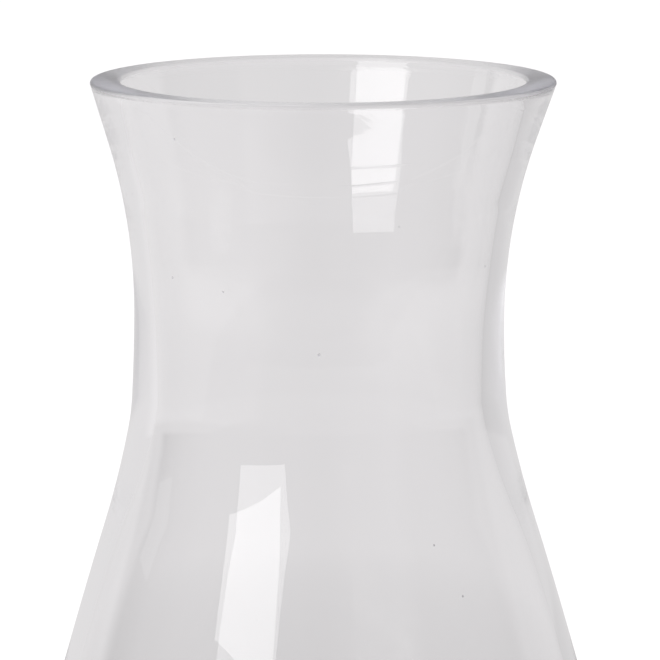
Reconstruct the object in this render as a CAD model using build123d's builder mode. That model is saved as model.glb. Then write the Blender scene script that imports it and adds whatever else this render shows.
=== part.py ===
from build123d import *
import os
from math import cos, radians, sin, tan

os.makedirs("parts", exist_ok=True)

# Clear glass flower vase, one piece of glass.
# Millimetres, +Z up. The origin is the centre of the foot, on the plane the vase stands on.
# The profile is drawn in the XZ half plane (radius, height) and turned about Z.

# ---------------------------------------------------------------------------
# Driving dimensions
# ---------------------------------------------------------------------------
height = 250.0              # foot plane to ground rim

# outside, from the mouth down
mouth_diameter = 120.3      # to the sharp corner, before the edge of the rim is softened
waist_diameter = 95.6       # narrowest place of the neck
flare_angle = 18.3          # straight part of the flare, from the vertical
throat_radius = 148.0       # long hollow curve between waist and flare
waist_radius = 330.0        # almost straight stretch just under the waist
waist_sweep = 3.6           # degrees
bend_radius = 65.0          # tighter bend where the neck turns out into the body
bend_sweep = 8.4            # degrees
hip_radius = 270.0          # last hollow curve before the flank
hip_sweep = 5.3             # degrees

# outside, from the foot up
belly_diameter = 151.0      # widest place of the body
belly_height = 48.5         # height of the widest place
belly_radius = 135.0        # curve from the flank to the widest place
belly_sweep = 15.5          # degrees
tuck_radius = 75.0          # curve from the widest place towards the heel
tuck_sweep = 30.0           # degrees
heel_radius = 22.0          # rounded heel down to the foot

# foot
foot_ring_width = 8.0       # flat ring the vase stands on
foot_edge_radius = 1.5      # inner edge of the ring
punt_rise = 3.5             # hollow under the base, at the centre

# inside: the wall is thickest at the rim and at the foot of the neck
rim_width = 7.85            # ground ring, before its edges are softened
inner_flare_angle = 12.3    # straight part of the flare, from the vertical
inner_flare_bottom = 222.0  # height where that straight part ends
inner_collar_radius = 40.0  # short bend under it
inner_collar_sweep = 5.0    # degrees
inner_throat_radius = 392.0 # long hollow curve down to the inner waist
inner_bend_radius = 52.0    # tight bend where the neck opens into the body
inner_bend_sweep = 13.5     # degrees
inner_hip_radius = 114.0
inner_hip_sweep = 8.7       # degrees
belly_wall = 4.0            # at the widest place
inner_tuck_sweep = 25.0     # degrees
inner_heel_radius = 14.0
base_thickness = 12.0       # inside floor above the foot plane

# rim, ground flat with softened edges
rim_outer_edge = 0.8
rim_inner_edge = 0.8

# ---------------------------------------------------------------------------
# Heights and radii that follow from them
# ---------------------------------------------------------------------------
mouth_radius = mouth_diameter / 2
neck_radius = waist_diameter / 2
throat_rise = throat_radius * sin(radians(flare_angle))
throat_spread = throat_radius * (1 - cos(radians(flare_angle)))
flare_height = (mouth_radius - neck_radius - throat_spread) / tan(radians(flare_angle))
waist_height = height - flare_height - throat_rise

inner_mouth_radius = mouth_radius - rim_width
inner_flare_spread = (height - inner_flare_bottom) * tan(radians(inner_flare_angle))
inner_flare_end = (inner_mouth_radius - inner_flare_spread, inner_flare_bottom)
inner_throat_sweep = inner_flare_angle - inner_collar_sweep

outer_belly = belly_diameter / 2
inner_belly = outer_belly - belly_wall
inner_tuck_radius = tuck_radius - belly_wall
floor_reach = (
    inner_belly
    - inner_tuck_radius * (1 - cos(radians(inner_tuck_sweep)))
    - inner_heel_radius * cos(radians(inner_tuck_sweep))
)

# ---------------------------------------------------------------------------
# Vase body: one revolved wall, open at the mouth
# ---------------------------------------------------------------------------
with BuildPart() as vase_body:
    with BuildSketch(Plane.XZ) as wall_section:
        with BuildLine() as wall_outline:
            # outside, upwards from the waist
            outer_throat = JernArc((neck_radius, waist_height), (0, 1), throat_radius, -flare_angle)
            outer_flare = Line(outer_throat @ 1, (mouth_radius, height))

            # outside, downwards from the waist to the flank
            outer_waist = JernArc((neck_radius, waist_height), (0, -1), waist_radius, waist_sweep)
            outer_bend = JernArc(outer_waist @ 1, outer_waist % 1, bend_radius, bend_sweep)
            outer_hip = JernArc(outer_bend @ 1, outer_bend % 1, hip_radius, hip_sweep)

            # outside, upwards and downwards from the widest place
            outer_shoulder = JernArc((outer_belly, belly_height), (0, 1), belly_radius, belly_sweep)
            outer_flank = Spline(
                outer_hip @ 1,
                outer_shoulder @ 1,
                tangents=(outer_hip % 1, (outer_shoulder % 1) * -1),
            )
            outer_tuck = JernArc((outer_belly, belly_height), (0, -1), tuck_radius, -tuck_sweep)
            outer_heel = JernArc(outer_tuck @ 1, outer_tuck % 1, heel_radius, -(90 - tuck_sweep))

            # foot ring and the hollow inside it
            foot_ring = Line(outer_heel @ 1, (outer_heel @ 1) - Vector(foot_ring_width, 0))
            punt = TangentArc((0, punt_rise), foot_ring @ 1, tangent=(1, 0))
            axis_line = Line((0, punt_rise), (0, base_thickness))

            # inside floor, heel and belly
            inner_floor = Line((0, base_thickness), (floor_reach, base_thickness))
            inner_heel = JernArc(inner_floor @ 1, (1, 0), inner_heel_radius, 90 - inner_tuck_sweep)
            inner_tuck = JernArc(inner_heel @ 1, inner_heel % 1, inner_tuck_radius, inner_tuck_sweep)
            inner_shoulder = JernArc(
                inner_tuck @ 1, (0, 1), belly_radius - belly_wall, belly_sweep
            )

            # inside, from the rim down through the waist to the flank
            inner_flare = Line((inner_mouth_radius, height), inner_flare_end)
            inner_collar = JernArc(
                inner_flare @ 1, inner_flare % 1, inner_collar_radius, inner_collar_sweep
            )
            inner_throat = JernArc(
                inner_collar @ 1, inner_collar % 1, inner_throat_radius, inner_throat_sweep
            )
            inner_bend = JernArc(
                inner_throat @ 1, inner_throat % 1, inner_bend_radius, inner_bend_sweep
            )
            inner_hip = JernArc(inner_bend @ 1, inner_bend % 1, inner_hip_radius, inner_hip_sweep)
            inner_flank = Spline(
                inner_hip @ 1,
                inner_shoulder @ 1,
                tangents=(inner_hip % 1, (inner_shoulder % 1) * -1),
            )

            # ground rim
            rim_top = Line((inner_mouth_radius, height), (mouth_radius, height))
        make_face()
    revolve(axis=Axis.Z)

    # softened edges of the ground rim
    rim_circles = vase_body.edges().filter_by(GeomType.CIRCLE).group_by(Axis.Z)[-1]
    fillet(rim_circles.sort_by(SortBy.RADIUS)[-1], radius=rim_outer_edge)
    rim_circles = vase_body.edges().filter_by(GeomType.CIRCLE).group_by(Axis.Z)[-1]
    fillet(rim_circles.sort_by(SortBy.RADIUS)[0], radius=rim_inner_edge)

    # softened inner edge of the foot ring
    foot_circles = vase_body.edges().filter_by(GeomType.CIRCLE).group_by(Axis.Z)[0]
    fillet(foot_circles.sort_by(SortBy.RADIUS)[0], radius=foot_edge_radius)

vase_body.part.label = "vase_body"
export_step(vase_body.part, "parts/vase_body.step")
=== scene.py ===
from math import atan, cos, exp, pi, radians, sin, sqrt, tan

import bmesh
import bpy
from mathutils import Matrix, Vector, noise


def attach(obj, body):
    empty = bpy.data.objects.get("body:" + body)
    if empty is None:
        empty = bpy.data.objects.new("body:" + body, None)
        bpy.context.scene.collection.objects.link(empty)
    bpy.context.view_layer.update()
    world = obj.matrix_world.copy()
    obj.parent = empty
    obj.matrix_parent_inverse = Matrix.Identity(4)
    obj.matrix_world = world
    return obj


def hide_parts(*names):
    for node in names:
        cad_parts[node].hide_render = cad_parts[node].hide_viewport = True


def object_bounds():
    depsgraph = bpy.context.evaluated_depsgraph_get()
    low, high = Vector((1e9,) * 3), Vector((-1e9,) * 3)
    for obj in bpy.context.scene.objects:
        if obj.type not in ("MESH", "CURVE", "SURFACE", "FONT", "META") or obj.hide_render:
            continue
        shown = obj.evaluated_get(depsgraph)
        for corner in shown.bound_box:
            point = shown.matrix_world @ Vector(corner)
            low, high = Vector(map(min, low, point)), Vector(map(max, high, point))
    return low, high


# ---------------------------------------------------------------------------
# Frame. Everything is in metres, +Z up, origin at the centre of the foot.
# Azimuth 0 is the camera's side (-Y), and it grows towards +X.
# ---------------------------------------------------------------------------
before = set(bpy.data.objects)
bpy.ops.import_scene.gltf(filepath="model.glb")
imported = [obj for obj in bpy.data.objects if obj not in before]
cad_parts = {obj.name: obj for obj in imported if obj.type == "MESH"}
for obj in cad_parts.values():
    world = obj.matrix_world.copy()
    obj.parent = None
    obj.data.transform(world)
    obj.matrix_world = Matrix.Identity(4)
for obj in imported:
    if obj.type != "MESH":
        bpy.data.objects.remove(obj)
cad_low, cad_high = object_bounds()
MM = 0.001

height = cad_high[2]
belly_reach = cad_high[0]

# Driving dimensions of the wall, the same as the CAD model's
mouth_radius = 60.15 * MM
neck_radius = 47.8 * MM
flare_angle = radians(18.3)
throat_radius = 148 * MM
waist_radius, waist_sweep = 330 * MM, radians(3.6)
bend_radius, bend_sweep = 65 * MM, radians(8.4)
hip_radius, hip_sweep = 270 * MM, radians(5.3)
belly_height = 48.5 * MM
belly_radius, belly_sweep = 135 * MM, radians(15.5)
tuck_radius, tuck_sweep = 75 * MM, radians(30)
heel_radius = 22 * MM
foot_ring_width = 8 * MM
punt_rise = 3.5 * MM
rim_width = 7.85 * MM
inner_flare_angle, inner_flare_bottom = radians(12.3), 222 * MM
inner_collar_radius, inner_collar_sweep = 40 * MM, radians(5.0)
inner_throat_radius = 392 * MM
inner_bend_radius, inner_bend_sweep = 52 * MM, radians(13.5)
inner_hip_radius, inner_hip_sweep = 114 * MM, radians(8.7)
belly_wall, base_thickness = 4 * MM, 12 * MM
inner_tuck_sweep = radians(25)
inner_heel_radius = 14 * MM
rim_outer_edge, rim_inner_edge = 0.8 * MM, 0.8 * MM
foot_edge_radius = 1.5 * MM


# ---------------------------------------------------------------------------
# Profile: points (radius, height) along arcs, lines and flanks
# ---------------------------------------------------------------------------
def arc(start, heading, radius, sweep, step=radians(1.0), least=4):
    """Points of an arc from start, leaving along heading; a positive sweep turns left."""
    side = 1 if sweep > 0 else -1
    centre = (start[0] - side * radius * sin(heading), start[1] + side * radius * cos(heading))
    count = max(least, int(abs(sweep) / step) + 1)
    points = []
    for i in range(count + 1):
        turn = heading + sweep * i / count
        points.append((centre[0] + side * radius * sin(turn), centre[1] - side * radius * cos(turn)))
    return points, heading + sweep


def chain(start, heading, pieces):
    """Arcs one after another, each leaving where the last one ends and in the same direction."""
    points = [start]
    for radius, sweep in pieces:
        more, heading = arc(points[-1], heading, radius, sweep)
        points += more[1:]
    return points, heading


def flank(start, start_heading, end, end_heading, count=24):
    """The smooth stretch that joins two chains: a cubic with their end directions."""
    length = sqrt((end[0] - start[0]) ** 2 + (end[1] - start[1]) ** 2)
    lead = (length * cos(start_heading), length * sin(start_heading))
    trail = (length * cos(end_heading), length * sin(end_heading))
    points = []
    for i in range(1, count):
        t = i / count
        a = 2 * t**3 - 3 * t**2 + 1
        b = t**3 - 2 * t**2 + t
        c = -2 * t**3 + 3 * t**2
        d = t**3 - t**2
        points.append(tuple(a * start[k] + b * lead[k] + c * end[k] + d * trail[k] for k in (0, 1)))
    return points


def soften(corner, before, after, radius, count=8):
    """Points of a fillet of that radius where the lines from before and to after meet at corner."""
    corner, before, after = Vector(corner), Vector(before), Vector(after)
    arm_in = (before - corner).normalized()
    arm_out = (after - corner).normalized()
    half = arm_in.angle(arm_out) / 2
    centre = corner + (arm_in + arm_out).normalized() * radius / sin(half)
    first = corner + arm_in * radius / tan(half) - centre
    last = corner + arm_out * radius / tan(half) - centre
    span = first.angle_signed(last)
    points = []
    for i in range(count + 1):
        turn = -span * i / count
        points.append(
            (
                centre[0] + first[0] * cos(turn) - first[1] * sin(turn),
                centre[1] + first[0] * sin(turn) + first[1] * cos(turn),
            )
        )
    return points


def straight(start, end, count):
    """Points between two ends, without the ends themselves."""
    return [
        tuple(start[k] + (end[k] - start[k]) * i / count for k in (0, 1)) for i in range(1, count)
    ]


UP, DOWN, OUT = pi / 2, -pi / 2, 0.0

throat_spread = throat_radius * (1 - cos(flare_angle))
flare_height = (mouth_radius - neck_radius - throat_spread) / tan(flare_angle)
waist_height = height - flare_height - throat_radius * sin(flare_angle)
inner_mouth_radius = mouth_radius - rim_width
inner_flare_drop = height - inner_flare_bottom
inner_throat_sweep = inner_flare_angle - inner_collar_sweep
inner_belly = belly_reach - belly_wall
inner_tuck_radius = tuck_radius - belly_wall
floor_reach = (
    inner_belly
    - inner_tuck_radius * (1 - cos(inner_tuck_sweep))
    - inner_heel_radius * cos(inner_tuck_sweep)
)


def outer_profile():
    """Outside of the wall, from the rim down to the foot ring."""
    throat, _ = arc((neck_radius, waist_height), UP, throat_radius, -flare_angle)
    neck, neck_heading = chain(
        (neck_radius, waist_height),
        DOWN,
        [(waist_radius, waist_sweep), (bend_radius, bend_sweep), (hip_radius, hip_sweep)],
    )
    shoulder, shoulder_heading = arc((belly_reach, belly_height), UP, belly_radius, belly_sweep)
    body, _ = chain(
        (belly_reach, belly_height),
        DOWN,
        [(tuck_radius, -tuck_sweep), (heel_radius, tuck_sweep - pi / 2)],
    )
    rim = (mouth_radius, height)
    edge = soften(rim, (inner_mouth_radius, height), throat[-1], rim_outer_edge)
    flare = straight(edge[-1], throat[-1], 10)
    joined = flank(neck[-1], neck_heading, shoulder[-1], shoulder_heading - pi)
    return edge + flare + throat[::-1] + neck[1:] + joined + shoulder[::-1] + body[1:]


def foot_profile(ring_outer):
    """Foot ring, its softened inner edge and the punt, from the ring to the axis."""
    ring_inner = ring_outer - foot_ring_width
    punt_radius = (ring_inner**2 + punt_rise**2) / (2 * punt_rise)
    lean = 2 * atan(punt_rise / ring_inner)
    corner = (ring_inner, 0.0)
    edge = soften(corner, (ring_outer, 0.0), (ring_inner - cos(lean), sin(lean)), foot_edge_radius)
    punt, _ = arc((0.0, punt_rise), OUT, punt_radius, -lean)
    punt = [p for p in punt if p[0] < edge[-1][0] - MM]
    return straight((ring_outer, 0.0), edge[0], 4) + edge + punt[::-1]


def inner_profile():
    """Inside of the wall, from the axis up to the rim."""
    middle, floor_edge = (0.0, base_thickness), (floor_reach, base_thickness)
    floor = [middle] + straight(middle, floor_edge, 20)
    bowl, _ = chain(
        floor_edge,
        OUT,
        [(inner_heel_radius, pi / 2 - inner_tuck_sweep), (inner_tuck_radius, inner_tuck_sweep)],
    )
    shoulder, shoulder_heading = arc(bowl[-1], UP, belly_radius - belly_wall, belly_sweep)
    rim = (inner_mouth_radius, height)
    flare_end = (inner_mouth_radius - inner_flare_drop * tan(inner_flare_angle), inner_flare_bottom)
    neck, neck_heading = chain(
        flare_end,
        DOWN - inner_flare_angle,
        [
            (inner_collar_radius, inner_collar_sweep),
            (inner_throat_radius, inner_throat_sweep),
            (inner_bend_radius, inner_bend_sweep),
            (inner_hip_radius, inner_hip_sweep),
        ],
    )
    joined = flank(neck[-1], neck_heading, shoulder[-1], shoulder_heading - pi)
    edge = soften(rim, flare_end, (mouth_radius, height), rim_inner_edge)
    flare = straight(flare_end, edge[0], 14)
    return floor + bowl + shoulder[1:] + joined[::-1] + neck[::-1] + flare + edge


# ---------------------------------------------------------------------------
# Glass mesh
# ---------------------------------------------------------------------------
AROUND = 228                            # faces round the axis

# the blown axis leans towards +X near the rim and bows the other way at the waist
LEAN_AT_RIM, LEAN_FROM = 0.70 * MM, 205 * MM
BOW, BOW_HEIGHT, BOW_SPAN = 0.45 * MM, 178 * MM, 28 * MM

# ripples: height, length, how many times tighter they are up and down, and where the noise starts
INSIDE_RIPPLES = [
    (0.06 * MM, 90 * MM, 0.8, (3, 1, 4)),
    (0.010 * MM, 18 * MM, 1.6, (2, 7, 1)),
]
OUTSIDE_RIPPLES = [
    (0.010 * MM, 22 * MM, 0.6, (8, 2, 8)),
]

# distances over which the ripples set in, below the rim and above the foot
RIM_FADE = 1.5 * MM, 7.5 * MM
FOOT_FADE = 3 * MM, 13 * MM

SEED_STRETCH = 1.35                     # seeds are drawn out along the wall


def sway(level):
    """How far the blown axis leans towards +X at that height."""
    lean = LEAN_AT_RIM * max(0.0, (level - LEAN_FROM) / (height - LEAN_FROM)) ** 2
    bow = BOW * exp(-(((level - BOW_HEIGHT) / BOW_SPAN) ** 2))
    return lean - bow


def ripple(x, y, level, inside):
    """How far the blown surface stands off its ideal curve, measured from the axis."""
    return sum(
        size * noise.noise(Vector((x, y, level * squeeze)) / length + Vector(start))
        for size, length, squeeze, start in (INSIDE_RIPPLES if inside else OUTSIDE_RIPPLES)
    )


def ramp(value, low, high):
    """0 up to low, 1 from high, straight between."""
    return min(1.0, max(0.0, (value - low) / (high - low)))


def fade(level):
    """1 on the free blown wall, 0 on the ground rim and on the foot."""
    return ramp(height - level, *RIM_FADE) * ramp(level, *FOOT_FADE)


def lathe(mesh, profile, inside_from, around=AROUND):
    """Closed body of revolution. The profile runs from the rim's outer edge to its inner edge."""
    rings, faces = [], []
    for place, (radius, level) in enumerate(profile):
        if radius < 1e-9:
            rings.append([mesh.verts.new((sway(level), 0, level))])
            continue
        ring = []
        for i in range(around):
            turn = 2 * pi * i / around
            x, y = radius * cos(turn), radius * sin(turn)
            reach = radius + fade(level) * ripple(x, y, level, place >= inside_from)
            ring.append(mesh.verts.new((reach * cos(turn) + sway(level), reach * sin(turn), level)))
        rings.append(ring)
    for upper, lower in zip(rings, rings[1:] + rings[:1]):
        for i in range(around):
            j = (i + 1) % around
            if len(upper) == 1 and len(lower) == 1:
                continue
            if len(upper) == 1:
                corners = (upper[0], lower[j], lower[i])
            elif len(lower) == 1:
                corners = (upper[i], upper[j], lower[0])
            else:
                corners = (upper[i], upper[j], lower[j], lower[i])
            faces.append(mesh.faces.new(corners))
    bmesh.ops.recalc_face_normals(mesh, faces=faces)


def reach_at(profile, level):
    """Radius of a profile at a height on the free wall."""
    for (r0, z0), (r1, z1) in zip(profile, profile[1:]):
        if abs(z1 - z0) > 1e-9 and (z0 - level) * (z1 - level) <= 0:
            return r0 + (r1 - r0) * (level - z0) / (z1 - z0)
    raise ValueError(f"the profile has no height {level}")


def seed(mesh, azimuth, level, depth, size):
    """A tiny bubble inside the wall: a closed void, its faces turned into the void."""
    outside = reach_at(outer, level)
    inside = reach_at(inner[::-1], level)
    reach = inside + (outside - inside) * depth
    turn = radians(azimuth)
    place = Matrix.Translation((reach * sin(turn) + sway(level), -reach * cos(turn), level))
    made = bmesh.ops.create_uvsphere(mesh, u_segments=16, v_segments=10, radius=size / 2, matrix=place)
    for vert in made["verts"]:
        vert.co.z = level + (vert.co.z - level) * SEED_STRETCH
    around_it = {face for vert in made["verts"] for face in vert.link_faces}
    bmesh.ops.reverse_faces(mesh, faces=list(around_it))


outer = outer_profile()
inner = inner_profile()
foot = foot_profile(outer[-1][0])

# azimuth from the camera's side in degrees, height in mm, place in the wall from 0 inside to
# 1 outside, and size in mm
SEEDS = [
    (-42, 240, 0.5, 0.48),
    (-76, 222, 0.6, 0.42),
    (-52, 203, 0.4, 0.48),
    (-31, 201, 0.5, 0.42),
    (61, 205, 0.5, 0.45),
    (0, 186, 0.6, 0.60),
    (32, 137, 0.5, 0.46),
    (38, 124, 0.5, 0.46),
    (152, 210, 0.5, 0.38),
    (196, 96, 0.5, 0.44),
    (118, 74, 0.6, 0.40),
    (-104, 58, 0.5, 0.40),
]

glass_mesh = bmesh.new()
for azimuth, level, depth, size in SEEDS:
    seed(glass_mesh, azimuth, level * MM, depth, size * MM)
lathe(glass_mesh, outer + foot + inner, inside_from=len(outer) + len(foot))
for face in glass_mesh.faces:
    face.smooth = True
glass_data = bpy.data.meshes.new("vase_glass")
glass_mesh.to_mesh(glass_data)
glass_mesh.free()
vase = bpy.data.objects.new("vase_glass", glass_data)
bpy.context.scene.collection.objects.link(vase)


# ---------------------------------------------------------------------------
# Node helpers
# ---------------------------------------------------------------------------
class Tree:
    """Short names for the nodes that the materials and the studio share."""

    def __init__(self, tree):
        self.nodes, self.links = tree.nodes, tree.links
        self.nodes.clear()

    def add(self, kind, **inputs):
        node = self.nodes.new(kind)
        for name, value in inputs.items():
            self.put(node.inputs[name.replace("_", " ")], value)
        return node

    def put(self, socket, value):
        if isinstance(value, bpy.types.NodeSocket):
            self.links.new(value, socket)
        else:
            socket.default_value = value

    def math(self, operation, first, second=0.0):
        node = self.nodes.new("ShaderNodeMath")
        node.operation = operation
        self.put(node.inputs[0], first)
        self.put(node.inputs[1], second)
        return node.outputs[0]

    def mix(self, factor, first, second):
        node = self.nodes.new("ShaderNodeMix")
        node.data_type = "FLOAT"
        for place, value in ((0, factor), (2, first), (3, second)):
            self.put(node.inputs[place], value)
        return node.outputs[0]

    def mix_colour(self, factor, first, second):
        node = self.nodes.new("ShaderNodeMix")
        node.data_type = "RGBA"
        for place, value in ((0, factor), (6, first), (7, second)):
            self.put(node.inputs[place], value)
        return node.outputs[2]

    def distance(self, first, second):
        return self.math("ABSOLUTE", self.math("SUBTRACT", first, second))

    def length(self, first, second):
        """Length of the hypotenuse over the two sides."""
        squares = [self.math("MULTIPLY", side, side) for side in (first, second)]
        return self.math("SQRT", self.math("ADD", *squares))

    def split(self, vector):
        node = self.nodes.new("ShaderNodeSeparateXYZ")
        self.links.new(vector, node.inputs[0])
        return node.outputs["X"], node.outputs["Y"], node.outputs["Z"]

    def rise(self, value, low, high, bottom=0.0, top=1.0):
        """Smooth rise from bottom to top as value goes from low to high."""
        node = self.nodes.new("ShaderNodeMapRange")
        node.interpolation_type = "SMOOTHSTEP"
        for socket, number in zip(node.inputs[:5], (value, low, high, bottom, top)):
            self.put(socket, number)
        return node.outputs[0]

    def noise(self, place, scale, detail=2.0, roughness=0.5):
        node = self.add("ShaderNodeTexNoise", Scale=scale, Detail=detail, Roughness=roughness)
        self.links.new(place, node.inputs["Vector"])
        return node.outputs["Fac"]

    def stretch(self, place, x, y, z):
        node = self.nodes.new("ShaderNodeVectorMath")
        node.operation = "MULTIPLY"
        self.put(node.inputs[0], place)
        node.inputs[1].default_value = (x, y, z)
        return node.outputs[0]


def grey(value):
    return (value, value, value, 1)


# ---------------------------------------------------------------------------
# Materials
# ---------------------------------------------------------------------------
GLASS_IOR = 1.52
SURFACE_TINT = (1.0, 0.997, 0.999, 1)
WALL_TINT, WALL_DENSITY = (0.84, 0.85, 1.0, 1), 1.3
RELIEF = 0.03 * MM                      # height of a mark of full strength

# ground rim: how far down the grinding starts and is full, and its roughness
GROUND_START, GROUND_FULL = 1.15 * MM, 0.75 * MM
GROUND_ROUGHNESS, SCUFF_ROUGHNESS = 0.30, 0.16
GRIT_SCALE, SCUFF_SCALE = 2600, 420

# smears left by handling
SMEAR_SCALE, SMEAR_ROUGHNESS = 34, 0.014
SMEAR_STRETCH = 0.45

# cold ripples in patches on the wall
BAND_SCALE, BAND_SQUEEZE = 30, 26
PATCH_SCALE, PATCH_STRENGTH = 38, 0.25

# slanting chill marks just under the rim
CHILL_SCALE, CHILL_SLANT = 900, 0.6
CHILL_PATCH_SCALE, CHILL_STRENGTH = 60, 1.2
CHILL_END, CHILL_FULL = 8 * MM, 3 * MM

# fine cords on the front of the flare
CORDS = (234.5 * MM, 229.5 * MM)        # mean heights
CORD_WIDTH, CORD_STRENGTH = 0.32 * MM, 1.5
CORD_DRIFT, CORD_DRIFT_SCALE = 5 * MM, 40
CORD_MIDDLE, CORD_REACH = 14.5 * MM, 13 * MM
CORD_FRONT, CORD_BACK = -30 * MM, -10 * MM


def clear_glass():
    """Blown clear glass: faintly tinted, faint ripples and smears, and a satin ground rim."""
    made = bpy.data.materials.new("clear_glass")
    made.use_nodes = True
    tree = Tree(made.node_tree)
    place = tree.nodes.new("ShaderNodeTexCoord").outputs["Object"]
    x, y, up = tree.split(place)

    ground = tree.rise(up, height - GROUND_START, height - GROUND_FULL)
    grit = tree.noise(place, GRIT_SCALE, 3)
    scuffs = tree.noise(tree.stretch(place, 1, 1, 0), SCUFF_SCALE, 4)
    ground_roughness = tree.math(
        "ADD", tree.math("MULTIPLY", scuffs, SCUFF_ROUGHNESS), GROUND_ROUGHNESS
    )

    smears = tree.noise(tree.stretch(place, 1, 1, SMEAR_STRETCH), SMEAR_SCALE, 4, 0.62)
    wall_roughness = tree.math("MULTIPLY", tree.rise(smears, 0.56, 0.78), SMEAR_ROUGHNESS)
    roughness = tree.mix(ground, wall_roughness, ground_roughness)

    bands = tree.noise(tree.stretch(place, 1, 1, BAND_SQUEEZE), BAND_SCALE, 1)
    patches = tree.rise(tree.noise(place, PATCH_SCALE, 1), 0.60, 0.72, 0.0, PATCH_STRENGTH)

    slant = tree.nodes.new("ShaderNodeCombineXYZ")
    tree.put(slant.inputs["Z"], tree.math("ADD", up, tree.math("MULTIPLY", x, CHILL_SLANT)))
    slanting = tree.noise(slant.outputs[0], CHILL_SCALE, 1)
    chilled = tree.rise(tree.noise(place, CHILL_PATCH_SCALE, 1), 0.42, 0.56, 0.0, CHILL_STRENGTH)
    chilled = tree.math(
        "MULTIPLY", chilled, tree.rise(up, height - CHILL_END, height - CHILL_FULL)
    )
    marks = tree.math(
        "ADD", tree.math("MULTIPLY", bands, patches), tree.math("MULTIPLY", slanting, chilled)
    )

    near = tree.rise(tree.distance(x, CORD_MIDDLE), CORD_REACH * 0.6, CORD_REACH, 1.0, 0.0)
    near = tree.math("MULTIPLY", near, tree.rise(y, CORD_FRONT, CORD_BACK, 1.0, 0.0))
    drift = tree.math("MULTIPLY", tree.noise(place, CORD_DRIFT_SCALE, 1), CORD_DRIFT)
    drifted = tree.math("ADD", up, drift)
    for level in CORDS:
        off = tree.distance(drifted, level + CORD_DRIFT / 2)
        cord = tree.rise(off, 0.0, CORD_WIDTH, CORD_STRENGTH, 0.0)
        marks = tree.math("ADD", marks, tree.math("MULTIPLY", cord, near))

    relief = tree.mix(ground, marks, grit)
    bump = tree.add("ShaderNodeBump", Strength=1.0, Distance=RELIEF, Height=relief)
    shader = tree.add(
        "ShaderNodeBsdfPrincipled", Roughness=roughness, IOR=GLASS_IOR, Normal=bump.outputs["Normal"]
    )
    shader.inputs["Base Color"].default_value = SURFACE_TINT
    shader.inputs["Transmission Weight"].default_value = 1.0

    wall = tree.nodes.new("ShaderNodeVolumeAbsorption")
    wall.inputs["Color"].default_value = WALL_TINT
    wall.inputs["Density"].default_value = WALL_DENSITY

    tree.add(
        "ShaderNodeOutputMaterial", Surface=shader.outputs["BSDF"], Volume=wall.outputs["Volume"]
    )
    return made


vase.data.materials.append(clear_glass())
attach(vase, "root")
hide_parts("vase_body")


# ---------------------------------------------------------------------------
# Stage: pale floor, soft studio light
#
# The lens sees a white set. Glass shows a slightly greyer one, which keeps a clear vase readable on
# white, and what the glass mirrors is darker again on the camera's side, as in a studio.
# ---------------------------------------------------------------------------
WHITE = 1.0                 # what the camera sees directly
AMBIENT = 1.22              # light on diffuse surfaces
BACKDROP_NEAR = 0.685       # through the glass, close behind the vase, where painted shade darkens the backdrop
BACKDROP_FAR = 0.765        # through the glass, further away
PAPER_EDGE = -0.52          # y of the front edge of the sheet that the vase stands on
PAPER_BLUR = 0.05
BEYOND = 0.68               # mirrored floor past that edge, against the sheet
FLOOR_END = 1.5, 3.0        # distances over which the mirrored floor gives way to the walls
STUDIO_TINT = (1.0, 0.985, 0.9925, 1)
FLOOR_SIZE = 60
FLOOR_LEVEL = -0.3 * MM
FLOOR_PAINT = 0.9
NEAR_TO_FAR = 0.35, 0.95    # distances over which the painted shade near the vase gives way to the lighter backdrop
CONTACT_REACH = 0.03, 0.16  # distances over which the shadow under the vase ends
CONTACT_TONE = 0.86

# mirrored sheet and mirrored walls: azimuth in degrees from the camera's side, and tone; the sheet's
# tones are painted light and shade, lighter on the softbox's side
SHEET_PAINTED_LIGHT_AND_SHADE = [
    (-180, 0.76),
    (-145, 0.74),
    (-128, 0.82),
    (-90, 0.86),
    (-40, 0.82),
    (20, 0.66),
    (60, 0.54),
    (124, 0.58),
    (144, 0.635),
    (168, 0.70),
    (180, 0.76),
]
WALLS = [
    (-180, 0.76),
    (-150, 0.745),
    (-135, 0.73),
    (-122, 0.84),
    (-115, 0.12),
    (-106, 0.14),
    (-96, 0.32),
    (-70, 0.48),
    (-45, 0.46),
    (-20, 0.27),
    (5, 0.13),
    (26, 0.22),
    (48, 0.30),
    (54, 0.14),
    (104, 0.14),
    (112, 0.54),
    (135, 0.66),
    (160, 0.72),
    (180, 0.76),
]

POOL_CORE = 0.35            # share of a pool's radius that has its full tone

# pools of light that the softbox throws on the sheet: x, y, radius in metres, and added tone
POOLS = [
    (-0.62, -0.34, 0.62, 0.36),
    (0.46, -0.44, 0.26, 0.06),
]


def bearing(tree, x, y):
    """Azimuth in degrees from the camera's side, growing towards +X."""
    towards = tree.math("MULTIPLY", y, -1.0)
    return tree.math("MULTIPLY", tree.math("ARCTAN2", x, towards), 180 / pi)


def tone(tree, azimuth, stops):
    """Tone by azimuth, smooth between the listed ones."""
    turn = tree.math("DIVIDE", tree.math("ADD", azimuth, 180.0), 360.0)
    ramp = tree.add("ShaderNodeValToRGB", Fac=turn)
    ramp.color_ramp.interpolation = "EASE"
    elements = ramp.color_ramp.elements
    while len(elements) > 1:
        elements.remove(elements[0])
    for i, (angle, value) in enumerate(stops):
        place = (angle + 180) / 360
        element = elements[0] if i == 0 else elements.new(place)
        element.position = place
        element.color = grey(value)
    return ramp.outputs["Color"]


def by_reflection(tree, path, through, mirrored):
    """One tone for what is seen through the glass, another for what it mirrors."""
    reflected = tree.math("GREATER_THAN", path.outputs["Glossy Depth"], 0.5)
    return tree.mix(reflected, through, mirrored)


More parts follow.
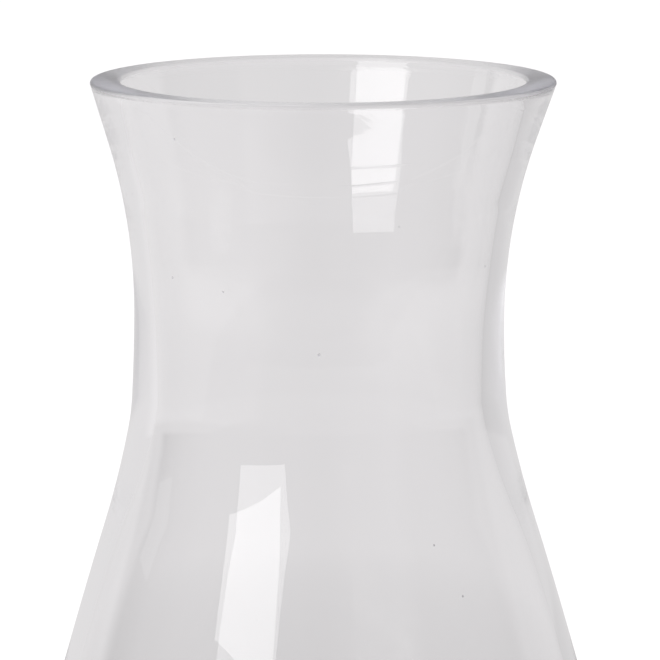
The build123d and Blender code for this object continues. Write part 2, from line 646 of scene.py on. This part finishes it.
def floor():
    bpy.ops.mesh.primitive_plane_add(size=FLOOR_SIZE, location=(0, 0, FLOOR_LEVEL))
    plane = bpy.context.object
    plane.name = "floor"
    made = bpy.data.materials.new("floor_paint_and_painted_light")
    made.use_nodes = True
    made.cycles.emission_sampling = "NONE"
    tree = Tree(made.node_tree)
    x, y, _ = tree.split(tree.nodes.new("ShaderNodeNewGeometry").outputs["Position"])
    away = tree.length(x, y)
    azimuth = bearing(tree, x, y)

    # seen through the glass: painted shade, a little greyer near the vase, with a painted soft contact
    # shadow
    painted_shade_near_vase = tree.rise(away, *NEAR_TO_FAR, BACKDROP_NEAR, BACKDROP_FAR)
    contact = tree.rise(away, *CONTACT_REACH, CONTACT_TONE, 1.0)
    through = tree.math("MULTIPLY", painted_shade_near_vase, contact)

    # mirrored by the glass: the sheet with its painted light and shade, the floor past its edge, and
    # the walls where the floor ends
    # painted light and shade on the mirrored sheet: lighter on the softbox's side, darker opposite
    sheet = tone(tree, azimuth, SHEET_PAINTED_LIGHT_AND_SHADE)
    for pool_x, pool_y, radius, light in POOLS:
        off = tree.length(tree.distance(x, pool_x), tree.distance(y, pool_y))
        sheet = tree.math("ADD", sheet, tree.rise(off, radius * POOL_CORE, radius, light, 0.0))
    edge = tree.rise(y, PAPER_EDGE - PAPER_BLUR, PAPER_EDGE + PAPER_BLUR, BEYOND, 1.0)
    sheet = tree.math("MULTIPLY", sheet, edge)
    mirrored = tree.mix(tree.rise(away, *FLOOR_END), sheet, tone(tree, azimuth, WALLS))

    # for rays from the glass the floor glows with painted light and shade instead of being lit; the
    # lens sees the plain diffuse paint
    path = tree.nodes.new("ShaderNodeLightPath")
    glow = tree.add("ShaderNodeEmission", Strength=by_reflection(tree, path, through, mirrored))
    glow.inputs["Color"].default_value = STUDIO_TINT
    paint = tree.add("ShaderNodeBsdfDiffuse", Color=grey(FLOOR_PAINT))
    seen = tree.nodes.new("ShaderNodeMixShader")
    for place, value in enumerate((path.outputs["Is Camera Ray"], glow.outputs[0], paint.outputs[0])):
        tree.put(seen.inputs[place], value)
    tree.add("ShaderNodeOutputMaterial", Surface=seen.outputs["Shader"])
    plane.data.materials.append(made)


def studio():
    world = bpy.data.worlds.new("studio")
    bpy.context.scene.world = world
    world.use_nodes = True
    tree = Tree(world.node_tree)
    x, y, _ = tree.split(tree.nodes.new("ShaderNodeTexCoord").outputs["Generated"])
    mirrored = tone(tree, bearing(tree, x, y), WALLS)
    path = tree.nodes.new("ShaderNodeLightPath")
    through = by_reflection(tree, path, BACKDROP_FAR, mirrored)
    lit = tree.mix(path.outputs["Is Diffuse Ray"], through, AMBIENT)
    seen = tree.mix(path.outputs["Is Camera Ray"], lit, WHITE)
    colour = tree.mix_colour(path.outputs["Is Camera Ray"], STUDIO_TINT, grey(1))
    background = tree.add("ShaderNodeBackground", Color=colour, Strength=seen)
    tree.add("ShaderNodeOutputWorld", Surface=background.outputs[0])


NECK_HEIGHT = 150 * MM


def softbox(name, azimuth, low, high, width, radiance, distance=1.1):
    """Rectangular light that faces the neck, with its edges at those angles in degrees from there."""
    middle = radians((low + high) / 2)
    light = bpy.data.lights.new(name, "AREA")
    light.shape = "RECTANGLE"
    light.size = 2 * distance * tan(radians(width / 2)) * cos(middle)
    light.size_y = 2 * distance * tan(radians((high - low) / 2))
    light.energy = radiance * pi * light.size * light.size_y
    lamp = bpy.data.objects.new(name, light)
    turn = radians(azimuth)
    toward = Vector((cos(middle) * sin(turn), -cos(middle) * cos(turn), sin(middle)))
    lamp.location = Vector((0, 0, NECK_HEIGHT)) + toward * distance
    lamp.rotation_euler = toward.to_track_quat("Z", "Y").to_euler()
    lamp.visible_camera = False
    bpy.context.scene.collection.objects.link(lamp)


floor()
studio()
softbox("key_softbox", azimuth=-36.8, low=14.6, high=45, width=33, radiance=2.8)
softbox("side_strip", azimuth=-108, low=12, high=38, width=12, radiance=0.45)


# ---------------------------------------------------------------------------
# Camera
# ---------------------------------------------------------------------------
rim_distance = 1.30
rim_elevation = radians(6.4)
aim_depth = 65.3 * MM
aside = 2.4 * MM

camera_data = bpy.data.cameras.new("camera")
camera_data.sensor_width = 36
camera_data.lens = 276
camera_data.clip_end = 60
camera = bpy.data.objects.new("camera", camera_data)
camera.location = (0, -rim_distance * cos(rim_elevation), height + rim_distance * sin(rim_elevation))
aim = Vector((aside, 0, height - aim_depth))
camera.rotation_euler = (aim - camera.location).to_track_quat("-Z", "Y").to_euler()
bpy.context.scene.collection.objects.link(camera)
bpy.context.scene.camera = camera
bpy.context.scene.view_settings.view_transform = "Standard"

# light runs a long way round inside a thick glass wall
bpy.context.scene.cycles.max_bounces = 64
bpy.context.scene.cycles.glossy_bounces = 48
bpy.context.scene.cycles.transmission_bounces = 64
